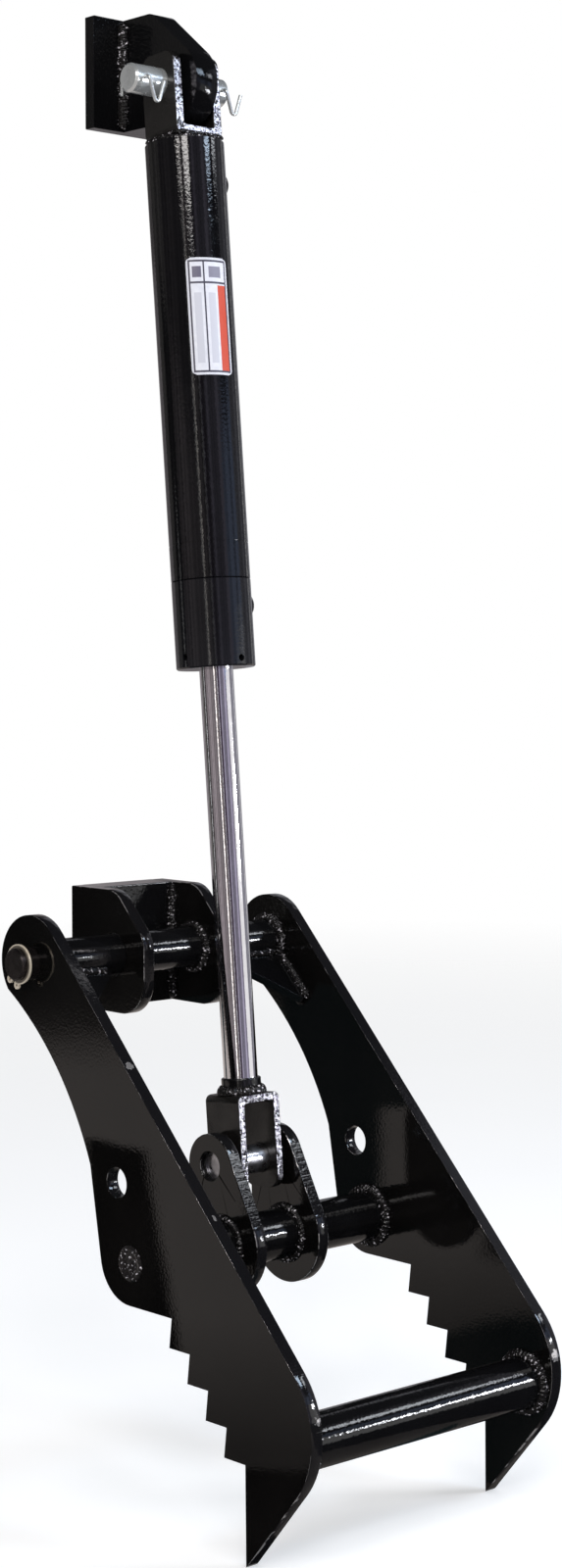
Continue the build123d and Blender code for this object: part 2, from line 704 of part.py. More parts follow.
# Wire clips: a leg through the pin, a hanging V in front and a bent tail behind
wire_front = upper_y - cylinder_pin_d / 2 - clip_wire_d / 2 - 1
wire_back = upper_y + cylinder_pin_d / 2 + clip_wire_d / 2 + 2
v_lean = math.radians(clip_lean)
v_sin = math.sin(v_lean)
v_cos = math.cos(v_lean)
half_bend = clip_bend * (1 - math.sqrt(0.5))
clips = []
for hole_x in (clip_at_left, clip_at_right):
    tail_y = wire_back + clip_bend
    v_y = wire_front - clip_bend
    tail_end = (hole_x, tail_y, upper_z - clip_tail)
    tail_top = (hole_x, tail_y, upper_z - clip_bend)
    tail_mid = (hole_x, tail_y - half_bend, upper_z - half_bend)
    leg_back = (hole_x, wire_back, upper_z)
    leg_front = (hole_x, wire_front, upper_z)
    bend_reach = clip_bend - half_bend
    bend_mid = (
        hole_x + half_bend * v_sin,
        wire_front - bend_reach,
        upper_z - half_bend * v_cos,
    )
    v_start = (hole_x + clip_bend * v_sin, v_y, upper_z - clip_bend * v_cos)
    v_middle = hole_x + clip_half_width
    round_run = (v_middle - clip_bend * v_cos - v_start[0]) / v_sin
    round_start = (v_start[0] + round_run * v_sin, v_y, v_start[2] - round_run * v_cos)
    round_centre_z = round_start[2] + clip_bend * v_sin
    round_low = (v_middle, v_y, round_centre_z - clip_bend)
    round_end = (2 * v_middle - round_start[0], v_y, round_start[2])
    v_end = (2 * v_middle - v_start[0], v_y, v_start[2])
    path = Line(tail_end, tail_top)
    path = path + ThreePointArc(tail_top, tail_mid, leg_back)
    path = path + Line(leg_back, leg_front)
    path = path + ThreePointArc(leg_front, bend_mid, v_start)
    path = path + Line(v_start, round_start)
    path = path + ThreePointArc(round_start, round_low, round_end)
    path = path + Line(round_end, v_end)
    wire_face = Plane(origin=tail_end, z_dir=(0, 0, 1)) * Circle(clip_wire_d / 2)
    clips.append(sweep(wire_face, path=path))
save(Compound(children=clips), "hitch_clips")
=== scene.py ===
import json
import math

import bpy
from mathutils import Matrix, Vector, noise


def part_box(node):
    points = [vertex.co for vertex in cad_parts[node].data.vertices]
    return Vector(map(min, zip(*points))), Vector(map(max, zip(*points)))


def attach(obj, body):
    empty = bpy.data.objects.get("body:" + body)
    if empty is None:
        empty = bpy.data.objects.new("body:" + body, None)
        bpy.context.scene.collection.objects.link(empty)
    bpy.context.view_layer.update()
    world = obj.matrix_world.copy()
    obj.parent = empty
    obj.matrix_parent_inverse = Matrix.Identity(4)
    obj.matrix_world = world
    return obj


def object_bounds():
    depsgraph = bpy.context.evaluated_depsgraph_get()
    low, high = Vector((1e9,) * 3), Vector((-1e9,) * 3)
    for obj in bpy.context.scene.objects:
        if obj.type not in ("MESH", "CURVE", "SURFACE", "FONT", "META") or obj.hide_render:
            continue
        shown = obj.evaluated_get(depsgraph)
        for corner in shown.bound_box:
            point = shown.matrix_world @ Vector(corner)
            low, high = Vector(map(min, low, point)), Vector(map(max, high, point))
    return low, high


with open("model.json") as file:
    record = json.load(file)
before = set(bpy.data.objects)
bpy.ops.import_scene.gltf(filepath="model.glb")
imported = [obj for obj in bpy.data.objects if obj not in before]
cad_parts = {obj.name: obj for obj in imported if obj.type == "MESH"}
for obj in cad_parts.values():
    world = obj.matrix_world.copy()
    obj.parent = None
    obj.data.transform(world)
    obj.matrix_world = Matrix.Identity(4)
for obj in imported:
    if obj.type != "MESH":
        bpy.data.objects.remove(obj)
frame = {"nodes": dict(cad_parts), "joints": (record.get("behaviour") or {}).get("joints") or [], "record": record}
cad_box = [list(corner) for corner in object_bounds()]
scene = bpy.context.scene

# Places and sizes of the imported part, in metres; a place in the side view is (y, z)
ACROSS = Vector((1, 0, 0))
FORWARD = Vector((0, -1, 0))
joint_at = {joint["name"]: joint.get("pos_m") for joint in frame["joints"]}
mounts = {mount["name"]: mount for mount in frame["record"]["mounts"]}


def at(x, place):
    """Point at x across the part, over a place in the side view."""
    return Vector((x, place[0], place[1]))


def tube_place(node):
    """Where a cross tube's axis stands in the side view."""
    low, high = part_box(node)
    return ((low.y + high.y) / 2, (low.z + high.z) / 2)


PIVOT = joint_at["thumb_swing"][1:]
ROD_PIN = joint_at["rod_pivot"][1:]
UPPER_PIN = joint_at["bracket_pivot"][1:]
MID_TUBE = tube_place("mid_tube")
TIP_TUBE = tube_place("tip_tube")
TUBE_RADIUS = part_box("mid_tube")[1].z - MID_TUBE[1]
BOSS_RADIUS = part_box("pivot_boss_right")[1].y - PIVOT[0]
BARREL_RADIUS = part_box("barrel_tube")[1].x
PORT_RADIUS = 0.014
PLATE_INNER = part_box("side_plate_right")[0].x
PLATE_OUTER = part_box("side_plate_right")[1].x
EAR_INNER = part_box("cylinder_ear_right")[0].x
EAR_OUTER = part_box("cylinder_ear_right")[1].x

# The cylinder hangs from the upper pin and runs down to the rod pin
RAM_LENGTH = math.dist(UPPER_PIN, ROD_PIN)
RAM_WAY = (at(0, ROD_PIN) - at(0, UPPER_PIN)).normalized()
RAM_FRONT = RAM_WAY.cross(ACROSS)


def ram(along, turn=0.0, radius=0.0):
    """Point about the cylinder's axis; turn 0 is the +X side and 90 the front."""
    angle = math.radians(turn)
    side = ACROSS * math.cos(angle) + RAM_FRONT * math.sin(angle)
    return at(0, UPPER_PIN) + RAM_WAY * along + side * radius


# Materials


class Look:
    """A material with one shader, whose colour, roughness and relief come from procedural nodes."""

    def __init__(self, name, roughness=0.3, metallic=0.0, specular=0.5):
        self.material = bpy.data.materials.new(name)
        self.material.use_nodes = True
        self.tree = self.material.node_tree
        self.shader = self.tree.nodes["Principled BSDF"]
        self.surface = self.tree.nodes["Material Output"].inputs["Surface"]
        self.shader.inputs["Roughness"].default_value = roughness
        self.shader.inputs["Metallic"].default_value = metallic
        self.shader.inputs["Specular IOR Level"].default_value = specular
        coords = self.add("ShaderNodeTexCoord")
        self.place = coords.outputs["Object"]
        self.normal = coords.outputs["Normal"]

    def add(self, kind, **settings):
        node = self.tree.nodes.new(kind)
        for key, value in settings.items():
            setattr(node, key, value)
        return node

    def feed(self, socket, value):
        if isinstance(value, bpy.types.NodeSocket):
            self.tree.links.new(value, socket)
        else:
            socket.default_value = value

    def set(self, **sockets):
        """Feed the shader's sockets, each named with _ for a space."""
        for name, value in sockets.items():
            self.feed(self.shader.inputs[name.replace("_", " ")], value)

    def fed(self, name):
        """What one of the shader's sockets is fed from so far."""
        return self.shader.inputs[name].links[0].from_socket

    def stretch(self, scale):
        """The surface's place with its axes scaled, for drawn-out marks."""
        node = self.add("ShaderNodeMapping")
        self.feed(node.inputs["Vector"], self.place)
        node.inputs["Scale"].default_value = scale
        return node.outputs["Vector"]

    def noise(self, scale, detail=2.0, rough=0.5, vector=None):
        node = self.add("ShaderNodeTexNoise")
        self.feed(node.inputs["Vector"], vector or self.place)
        node.inputs["Scale"].default_value = scale
        node.inputs["Detail"].default_value = detail
        node.inputs["Roughness"].default_value = rough
        return node.outputs["Fac"]

    def span(self, value, low, high, out_low=0.0, out_high=1.0):
        """Map low to high onto out_low to out_high, and hold the ends."""
        node = self.add("ShaderNodeMapRange")
        for socket, number in zip(node.inputs, (value, low, high, out_low, out_high)):
            self.feed(socket, number)
        return node.outputs["Result"]

    def math(self, operation, first, second=0.0):
        node = self.add("ShaderNodeMath", operation=operation)
        self.feed(node.inputs[0], first)
        self.feed(node.inputs[1], second)
        return node.outputs[0]

    def blend(self, factor, first, second):
        node = self.add("ShaderNodeMix", data_type="RGBA")
        colors = [socket for socket in node.inputs if socket.type == "RGBA"]
        self.feed(node.inputs["Factor"], factor)
        self.feed(colors[0], first)
        self.feed(colors[1], second)
        return [socket for socket in node.outputs if socket.type == "RGBA"][0]

    def along(self, direction, vector):
        """Part of a vector along a fixed direction."""
        node = self.add("ShaderNodeVectorMath", operation="DOT_PRODUCT")
        self.feed(node.inputs[0], vector)
        node.inputs[1].default_value = direction
        return node.outputs["Value"]

    def away(self, spot, vector=None):
        """Distance of the surface's place, or of another vector, from a fixed spot."""
        node = self.add("ShaderNodeVectorMath", operation="DISTANCE")
        self.feed(node.inputs[0], vector or self.place)
        node.inputs[1].default_value = spot
        return node.outputs["Value"]

    def bump(self, height, strength, distance, normal=None):
        node = self.add("ShaderNodeBump")
        node.inputs["Strength"].default_value = strength
        node.inputs["Distance"].default_value = distance
        self.feed(node.inputs["Height"], height)
        if normal:
            self.feed(node.inputs["Normal"], normal)
        return node.outputs["Normal"]


def rgb(red, green, blue):
    return (red, green, blue, 1.0)


def black_paint(name, dark, dust, gloss, specular, peel=0.00012):
    """Gloss black enamel: orange peel of a given depth, faint dust, wiped patches of duller gloss."""
    look = Look(name, specular=specular)
    patches = look.span(look.noise(9, 3), 0.35, 0.7)
    specks = look.span(look.noise(900, 2), 0.68, 0.8)
    film = look.math("MULTIPLY", patches, 0.25)
    film = look.math("ADD", film, look.math("MULTIPLY", specks, 0.3))
    look.set(Base_Color=look.blend(film, dark, dust))
    look.set(Roughness=look.span(look.noise(60, 4), 0.3, 0.75, *gloss))
    relief = look.bump(look.noise(420, 2), 0.4, peel)
    look.set(Normal=look.bump(look.noise(26, 1), 0.2, peel * 3, relief))
    return look


# Spots on the plates' front edges that are knocked down to bare steel: where across, place and size
PLATE_MIDDLE = (PLATE_INNER + PLATE_OUTER) / 2
EDGE_CHIPS = (
    (-PLATE_MIDDLE, (-0.190, -0.079), 0.0040),
    (-PLATE_MIDDLE, (-0.2816, -0.1651), 0.0035),
    (-PLATE_MIDDLE, (-0.2926, -0.1754), 0.0030),
    (-PLATE_MIDDLE, (-0.3011, -0.1869), 0.0040),
    (-PLATE_MIDDLE + 0.003, (-0.4159, -0.3310), 0.0052),
    (PLATE_MIDDLE, (-0.4175, -0.3299), 0.0052),
)


def plate_paint(name):
    """Paint over cut plate: flat faces are glossy, flame-cut edges ridged, corners chipped."""
    dark = rgb(0.0030, 0.0028, 0.0028)
    dust = rgb(0.014, 0.0125, 0.0115)
    edge_grey = rgb(0.012, 0.012, 0.015)
    bare_steel = rgb(0.62, 0.6, 0.6)
    look = black_paint(name, dark, dust, (0.015, 0.06), 0.45)
    facing = look.math("ABSOLUTE", look.along(ACROSS, look.normal))
    cut = look.span(facing, 0.75, 0.35)
    ridges = look.noise(520, 2, 0.6, look.stretch((0.04, 1, 1)))
    pits = look.noise(240, 3)
    rough = look.math("MULTIPLY", look.math("ADD", ridges, pits), cut)
    look.set(Normal=look.bump(rough, 0.35, 0.0002, look.fed("Normal")))

    # Bare steel along the rounded rims, and at the larger chips
    rim = look.math("MULTIPLY", look.span(facing, 0.92, 0.8), look.span(facing, 0.25, 0.45))
    bare = look.math("MULTIPLY", rim, look.span(look.noise(46, 5, 0.7), 0.50, 0.57))
    ragged = look.span(look.noise(300, 3), 0.3, 0.7, -0.0015, 0.0015)
    for across, place, size in EDGE_CHIPS:
        reach = look.math("ADD", look.away(at(across, place)), ragged)
        bare = look.math("MAXIMUM", bare, look.span(reach, size, size * 0.8))
    greyed = look.blend(look.math("MULTIPLY", cut, 0.3), look.fed("Base Color"), edge_grey)
    look.set(Base_Color=look.blend(bare, greyed, bare_steel))
    look.set(Metallic=look.math("MULTIPLY", bare, 0.8))
    look.set(Roughness=look.math("ADD", look.fed("Roughness"), look.math("MULTIPLY", cut, 0.03)))
    return look


def clevis_paint(name):
    """Painted strap whose sheared front and back edges have lost most of their paint; their near-white lilac steel
    is partly bare steel and partly a painted highlight.
    """
    dark = rgb(0.005, 0.0047, 0.0045)
    dust = rgb(0.03, 0.026, 0.024)
    look = black_paint(name, dark, dust, (0.14, 0.3), 0.45)
    facing = look.math("ABSOLUTE", look.along(RAM_FRONT, look.normal))
    edge = look.span(facing, 0.9, 0.97)
    grain = look.noise(330, 3, 0.6)
    bare = look.math("MULTIPLY", edge, look.span(grain, 0.41, 0.47))
    # Near-white lilac tone of the bare edges is partly a painted highlight
    tone = look.span(look.noise(400, 3, 0.6), 0.42, 0.54)
    steel_and_highlight = look.blend(tone, rgb(0.10, 0.09, 0.13), rgb(0.95, 0.93, 1.0))
    look.set(Base_Color=look.blend(bare, look.fed("Base Color"), steel_and_highlight))
    look.set(Metallic=look.math("MULTIPLY", bare, 0.7))
    look.set(Normal=look.bump(look.math("MULTIPLY", grain, edge), 0.9, 0.0013, look.fed("Normal")))
    return look


def weld_paint(name):
    """Paint over a weld bead: glossy and uneven, with bright pinkish specks that are painted glints."""
    dark = rgb(0.003, 0.0028, 0.003)
    dust = rgb(0.03, 0.027, 0.027)
    look = black_paint(name, dark, dust, (0.02, 0.09), 0.32)
    look.set(Normal=look.bump(look.noise(330, 2, 0.6), 0.7, 0.0008, look.fed("Normal")))
    # Pale pinkish specks are painted glints
    specks = look.span(look.noise(350, 3, 0.65), 0.61, 0.65)
    look.set(Base_Color=look.blend(specks, look.fed("Base Color"), rgb(0.72, 0.68, 0.72)))
    return look


def metal(name, tones, gloss, marks=None, metallic=1.0, pits=0.0):
    """Machined metal of two mixed tones; marks are the turning marks' stretch, scale and depth."""
    look = Look(name, metallic=metallic)
    mixed = look.span(look.noise(38, 4, 0.6), 0.3, 0.7)
    look.set(Base_Color=look.blend(mixed, *tones))
    look.set(Roughness=look.span(look.noise(120, 3), 0.3, 0.7, *gloss))
    relief = look.bump(look.noise(700, 2), 0.25, 0.00006)
    if marks:
        stretch, scale, depth = marks
        relief = look.bump(look.noise(scale, 2, 0.6, look.stretch(stretch)), 0.5, depth, relief)
    if pits:
        relief = look.bump(look.noise(300, 4), pits, 0.0003, relief)
    look.set(Normal=relief)
    return look


def ring_plate(name):
    """Yellow zinc whose flat faces inside the rim are darkened as painted shade, while the rim stays pale."""
    tones = (rgb(0.95, 0.86, 0.72), rgb(0.86, 0.73, 0.55))
    rim_outside, rim_inside = 0.0168, 0.0160
    look = metal(name, tones, (0.16, 0.28), metallic=0.35)
    # Flat faces inside the rim are painted dark: painted shade
    flat = look.span(look.math("ABSOLUTE", look.along(ACROSS, look.normal)), 0.8, 0.95)
    inner = look.span(look.away(at(0, PIVOT), look.stretch((0, 1, 1))), rim_outside, rim_inside)
    flat_shade = look.math("MULTIPLY", look.math("MULTIPLY", flat, inner), 0.9)
    look.set(Base_Color=look.blend(flat_shade, look.fed("Base Color"), rgb(0.10, 0.085, 0.07)))
    return look


ENAMEL = rgb(0.0030, 0.0030, 0.0034)
PAINTS = {
    "barrel_paint": {
        "dark": rgb(0.0022, 0.0022, 0.0028),
        "dust": rgb(0.011, 0.0105, 0.012),
        "gloss": (0.04, 0.11),
        "specular": 0.5,
        "peel": 0.00022,
    },
    "gland_paint": {
        "dark": rgb(0.004, 0.004, 0.005),
        "dust": rgb(0.02, 0.02, 0.024),
        "gloss": (0.06, 0.14),
        "specular": 0.5,
        "peel": 0.00016,
    },
    "plain_paint": {
        "dark": ENAMEL,
        "dust": rgb(0.014, 0.0135, 0.0145),
        "gloss": (0.02, 0.07),
        "specular": 0.5,
        "peel": 0.0003,
    },
    "bracket_paint": {
        "dark": ENAMEL,
        "dust": rgb(0.011, 0.0105, 0.0115),
        "gloss": (0.02, 0.07),
        "specular": 0.22,
        "peel": 0.0003,
    },
}
METALS = {
    "hard_chrome": {
        "tones": (rgb(0.80, 0.79, 0.82), rgb(0.70, 0.68, 0.70)),
        "gloss": (0.03, 0.07),
        "marks": ((1, 1, 0.05), 900, 0.00002),
    },
    "bright_steel": {
        "tones": (rgb(0.66, 0.66, 0.70), rgb(0.52, 0.51, 0.54)),
        "gloss": (0.2, 0.38),
        "marks": ((1, 0.1, 0.1), 800, 0.00005),
    },
    "pin_steel": {
        "tones": (rgb(0.032, 0.026, 0.026), rgb(0.018, 0.015, 0.015)),
        "gloss": (0.18, 0.35),
        "metallic": 0.7,
        "pits": 0.25,
    },
    "clear_zinc": {
        "tones": (rgb(0.74, 0.76, 0.76), rgb(0.58, 0.60, 0.60)),
        "gloss": (0.16, 0.30),
        "metallic": 0.7,
        "pits": 0.15,
    },
    "spring_steel": {
        "tones": (rgb(0.24, 0.24, 0.25), rgb(0.14, 0.14, 0.15)),
        "gloss": (0.25, 0.4),
        "metallic": 0.95,
    },
    "bronze": {
        "tones": (rgb(0.62, 0.42, 0.20), rgb(0.45, 0.30, 0.14)),
        "gloss": (0.28, 0.42),
        "marks": ((0.1, 1, 1), 700, 0.00004),
    },
    "cast_iron": {
        "tones": (rgb(0.22, 0.22, 0.22), rgb(0.15, 0.15, 0.15)),
        "gloss": (0.3, 0.5),
        "metallic": 0.9,
        "pits": 0.2,
    },
    "seal_rubber": {
        "tones": (rgb(0.022, 0.022, 0.026), rgb(0.035, 0.034, 0.036)),
        "gloss": (0.45, 0.6),
        "metallic": 0.0,
    },
    "wear_ring_plastic": {
        "tones": (rgb(0.25, 0.12, 0.07), rgb(0.18, 0.09, 0.06)),
        "gloss": (0.4, 0.55),
        "metallic": 0.0,
    },
}
looks = {name: black_paint(name, **settings) for name, settings in PAINTS.items()}
looks.update((name, metal(name, **settings)) for name, settings in METALS.items())
looks["black_gloss_paint"] = plate_paint("black_gloss_paint")
looks["clevis_paint"] = clevis_paint("clevis_paint")
looks["yellow_zinc"] = ring_plate("yellow_zinc")
weld_look = weld_paint("weld_paint")

# Nodes that are turned, or not cut from plate, take another paint than their slot's cut plate
LOOK_OF_NODE = {
    "mid_tube": "plain_paint",
    "tip_tube": "plain_paint",
    "pivot_boss_left": "plain_paint",
    "pivot_boss_right": "plain_paint",
    "pivot_sleeve": "plain_paint",
    "boss_gusset_left": "plain_paint",
    "boss_gusset_right": "plain_paint",
    "lower_base_block": "plain_paint",
    "rod_collar": "plain_paint",
    "upper_base_plate": "bracket_paint",
    "upper_lug": "bracket_paint",
}
slot_of = {part["node"]: part["material_slot"] for part in frame["record"]["subparts"]}
for node_name, node in frame["nodes"].items():
    look = looks[LOOK_OF_NODE.get(node_name, slot_of[node_name])]
    node.data.materials.clear()
    node.data.materials.append(look.material)

# Rounded rims on the cut plates and straps
CUT_NODES = (
    "side_plate_left",
    "side_plate_right",
    "cylinder_ear_left",
    "cylinder_ear_right",
    "boss_gusset_left",
    "boss_gusset_right",
    "lower_cheek_left",
    "lower_cheek_right",
    "lower_base_block",
    "upper_base_plate",
    "upper_lug",
    "rod_clevis",
    "base_clevis",
)
RIM_WIDTH = 0.0009
RIM_ANGLE = math.radians(38)
for node_name in CUT_NODES:
    node = frame["nodes"][node_name]
    join = node.modifiers.new("join", "WELD")
    join.merge_threshold = 0.00001
    rim = node.modifiers.new("rim", "BEVEL")
    rim.width = RIM_WIDTH
    rim.segments = 2
    rim.limit_method = "ANGLE"
    rim.angle_limit = RIM_ANGLE
    rim.harden_normals = True

# Pieces built on the solids


def piece(name, points, faces, look, body):
    """Smooth-shaded mesh with the given look's material, that rides a body."""
    mesh = bpy.data.meshes.new(name)
    mesh.from_pydata([tuple(point) for point in points], [], faces)
    mesh.update()
    obj = bpy.data.objects.new(name, mesh)
    scene.collection.objects.link(obj)
    mesh.materials.append(look.material)
    mesh.polygons.foreach_set("use_smooth", [True] * len(mesh.polygons))
    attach(obj, body)
    return obj


# Weld beads: a fillet with a rippled, slightly wandering face
BEAD_STEPS = 6
RIPPLE_PITCH = 0.0032
RIPPLE_HEIGHT = 0.28
CROWN = 0.22
ROOT_SINK = 0.18
LEG_DRIFT = 0.14
DRIFT_SCALE = 120
END_SHARE = 0.35
END_ROWS = 12


def bead(name, path, size, body, closed=True, seed=0.0):
    """Fillet weld: path gives the corner and the two directions away from it along the faces."""
    points = []
    travelled = 0.0
    for index, (corner, first, second) in enumerate(path):
        if index:
            travelled += (corner - path[index - 1][0]).length
        ripple = (travelled / RIPPLE_PITCH) % 1.0
        crest = RIPPLE_HEIGHT * math.sin(math.pi * ripple)
        drift = LEG_DRIFT * noise.noise(corner * DRIFT_SCALE + Vector((seed, 0, 0)))
        end = 1.0
        if not closed:
            from_end = min(index, len(path) - 1 - index)
            end = min(1.0, END_SHARE + from_end / END_ROWS)
        leg = size * (1 + drift) * end
        points.append(corner - (first + second) * leg * ROOT_SINK)
        for step in range(BEAD_STEPS + 1):
            share = step / BEAD_STEPS
            swell = 1 + (CROWN + crest) * math.sin(math.pi * share)
            flat = first * (1 - share) + second * share
            points.append(corner + flat * leg * swell)
    count = BEAD_STEPS + 2
    rows = len(path) if closed else len(path) - 1
    faces = []
    for row in range(rows):
        here = row * count
        after = ((row + 1) % len(path)) * count
        for step in range(count):
            follow = (step + 1) % count
            faces.append((here + step, here + follow, after + follow, after + step))
    if not closed:
        last = (len(path) - 1) * count
        faces.append(tuple(reversed(range(count))))
        faces.append(tuple(last + step for step in range(count)))
    return piece(name, points, faces, weld_look, body)


def ring_path(centre, axis, radius, outward):
    """Corner round a tube: first direction lies along the tube, second runs out over the plate."""
    steps = 360
    side = Vector((0, 1, 0)) if abs(axis.x) > 0.9 else axis.orthogonal().normalized()
    other = axis.cross(side)
    path = []
    for step in range(steps):
        angle = math.radians(360 * step / steps)
        radial = side * math.cos(angle) + other * math.sin(angle)
        path.append((centre + radial * radius, outward, radial))
    return path


def line_path(start, end, first, second, steps):
    return [(start.lerp(end, step / steps), first, second) for step in range(steps + 1)]


def strap_path(along, half_width, half_depth, corner, outward):
    """Rounded rectangle round the foot of a strap, square to the cylinder."""
    steps = 90
    path = []
    for quarter, (sign_x, sign_y) in enumerate(((1, 1), (-1, 1), (-1, -1), (1, -1))):
        centre = ram(along) + ACROSS * sign_x * (half_width - corner)
        centre = centre + RAM_FRONT * sign_y * (half_depth - corner)
        for step in range(steps):
            angle = math.radians(quarter * 90 + 90 * step / steps)
            radial = ACROSS * math.cos(angle) + RAM_FRONT * math.sin(angle)
            path.append((centre + radial * corner, outward, radial))
    return path


def thumb_welds(side, hand):
    """Cross tubes, pivot boss and cylinder ear of one side."""
    inward = ACROSS * -side
    plate = side * PLATE_INNER
    for tube, place, leg in (("mid", MID_TUBE, 0.0065), ("tip", TIP_TUBE, 0.006)):
        path = ring_path(at(plate, place), ACROSS, TUBE_RADIUS, inward)
        bead(f"{tube}_tube_weld_{hand}", path, leg, "thumb", seed=side * 3.0)
    path = ring_path(at(plate, PIVOT), ACROSS, BOSS_RADIUS, inward)
    bead(f"pivot_boss_weld_{hand}", path, 0.006, "thumb", seed=side * 5.0)
    for which, face, away in (("inner", EAR_INNER, inward), ("outer", EAR_OUTER, -inward)):
        path = ring_path(at(side * face, MID_TUBE), ACROSS, TUBE_RADIUS, away)
        bead(f"ear_weld_{which}_{hand}", path, 0.0045, "thumb", seed=side * 7.0 + face)


def bracket_welds(side, hand):
    """Sleeve and base block of the lower bracket, and lug of the upper one."""
    inward = ACROSS * -side
    block_low, block_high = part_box("lower_base_block")
    block_inset = 0.001
    path = ring_path(at(side * block_high.x, PIVOT), ACROSS, BOSS_RADIUS, inward)
    bead(f"sleeve_weld_{hand}", path, 0.005, "lower_bracket", seed=side * 9.0)
    low = Vector((side * block_high.x, block_low.y, block_low.z + block_inset))
    high = Vector((side * block_high.x, block_low.y, block_high.z - block_inset))
    path = line_path(low, high, FORWARD, inward, 280)
    bead(f"base_block_weld_{hand}", path, 0.006, "lower_bracket", closed=False, seed=side * 11.0)

    plate_low, plate_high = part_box("upper_base_plate")
    lug_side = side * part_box("upper_lug")[1].x
    lug_inset = 0.002
    low = Vector((lug_side, plate_low.y, plate_low.z + lug_inset))
    high = Vector((lug_side, plate_low.y, plate_high.z - lug_inset))
    path = line_path(low, high, -inward, FORWARD, 260)
    bead(f"upper_lug_weld_{hand}", path, 0.007, "upper_bracket", closed=False, seed=side * 13.0)


def gusset_welds(side, hand):
    """Both faces of a gusset, on its boss and on the side plate."""
    gusset_turn = math.radians(225)
    half_thickness = 0.004
    foot_reach = 0.0186
    boss_start, boss_end = 0.072, 0.127
    plate_start, plate_end = 0.024, 0.076
    inward = ACROSS * -side
    reach_way = Vector((0, math.cos(gusset_turn), math.sin(gusset_turn)))
    square = ACROSS.cross(reach_way)
    for face in (-1, 1):
        normal = square * face
        root = at(0, PIVOT) + normal * half_thickness
        foot = root + reach_way * foot_reach
        path = line_path(foot - inward * boss_start, foot - inward * boss_end, normal, reach_way, 140)
        bead(f"gusset_boss_weld_{hand}_{face + 1}", path, 0.0045, "thumb", False, face + side * 17.0)
        plate = root - inward * PLATE_INNER
        path = line_path(
            plate + reach_way * plate_start, plate + reach_way * plate_end, inward, normal, 140
        )
        bead(f"gusset_plate_weld_{hand}_{face + 1}", path, 0.005, "thumb", False, face + side * 19.0)


def plug_weld(side, hand):
    """Weld through the side plate into the end of the middle tube: a low disc with a raised ring."""
    rings, sectors = 14, 72
    plug_radius = 0.0155
    base_height = 0.0002
    ring_height, ring_share, ring_width = 0.0011, 0.82, 0.12
    ripple_height, ripple_count, ripple_from, ripple_to = 0.00025, 24, 0.6, 0.97
    uneven = 0.0003
    points = []
    for ring in range(rings + 1):
        share = ring / rings
        radius = plug_radius * share
        for sector in range(sectors):
            angle = 2 * math.pi * sector / sectors
            rise = base_height + ring_height * math.exp(-(((share - ring_share) / ring_width) ** 2))
            if ripple_from < share < ripple_to:
                rise += ripple_height * math.sin(angle * ripple_count + share * 5)
            rise += uneven * noise.noise(Vector((share * 5, angle * 2, side)))
            if ring == rings:
                rise = -base_height
            offset = Vector((side * rise, radius * math.cos(angle), radius * math.sin(angle)))
            points.append(at(side * PLATE_OUTER, MID_TUBE) + offset)
    faces = []
    for ring in range(rings):
        for sector in range(sectors):
            follow = (sector + 1) % sectors
            inner = ring * sectors
            outer = inner + sectors
            face = (inner + sector, outer + sector, outer + follow, inner + follow)
            faces.append(face if side > 0 else tuple(reversed(face)))
    piece(f"plug_weld_{hand}", points, faces, weld_look, "thumb")


def port_weld(where):
    """Fillet round a port boss, which stands on the round of the barrel."""
    steps = 120
    port = mounts[f"{where}_port"]
    along = (Vector(port["pos_m"]) - at(0, UPPER_PIN)).dot(RAM_WAY)
    way = Vector(port["axis"])
    across_port = RAM_WAY.cross(way)
    path = []
    for step in range(steps):
        angle = 2 * math.pi * step / steps
        radial = RAM_WAY * math.cos(angle) + across_port * math.sin(angle)
        sideways = PORT_RADIUS * math.sin(angle)
        height = math.sqrt(BARREL_RADIUS**2 - sideways**2)
        corner = ram(along) + way * height + radial * PORT_RADIUS
        drop = way * (-sideways / height) * math.sin(angle)
        path.append((corner, way, (radial + drop).normalized()))
    bead(f"{where}_port_weld", path, 0.004, "barrel", seed=27.0 + along)


def ram_welds():
    """Welds along the cylinder; places are measured from the upper pin, or back from the rod pin."""
    cap_at, cap_radius = 0.0525, 0.029
    collar_back, collar_radius, collar_spread = 0.059, 0.0175, 1.6
    foot_at, foot_half_width, foot_half_depth, foot_corner = 0.0485, 0.0235, 0.022, 0.003
    path = ring_path(ram(cap_at), RAM_WAY, cap_radius, -RAM_WAY)
    bead("cap_weld", path, 0.0042, "barrel", seed=21.0)
    path = ring_path(ram(RAM_LENGTH - collar_back), RAM_WAY, collar_radius, -RAM_WAY * collar_spread)
    bead("rod_collar_weld", path, 0.0045, "rod", seed=23.0)
    path = strap_path(foot_at, foot_half_width, foot_half_depth, foot_corner, -RAM_WAY)
    bead("base_clevis_weld", path, 0.0036, "barrel", seed=25.0)
    port_weld("base")
    port_weld("gland")


for side, hand in ((-1, "left"), (1, "right")):
    thumb_welds(side, hand)
    bracket_welds(side, hand)
    gusset_welds(side, hand)
    plug_weld(side, hand)
ram_welds()

# Label panel: plain fields of colour on a film wrapped round the barrel
FILM_TONES = (rgb(0.72, 0.72, 0.77), rgb(0.64, 0.64, 0.70))
RULE = rgb(0.05, 0.045, 0.07)
ORANGE = rgb(0.56, 0.055, 0.018)
PALE_GREY = rgb(0.55, 0.55, 0.61)

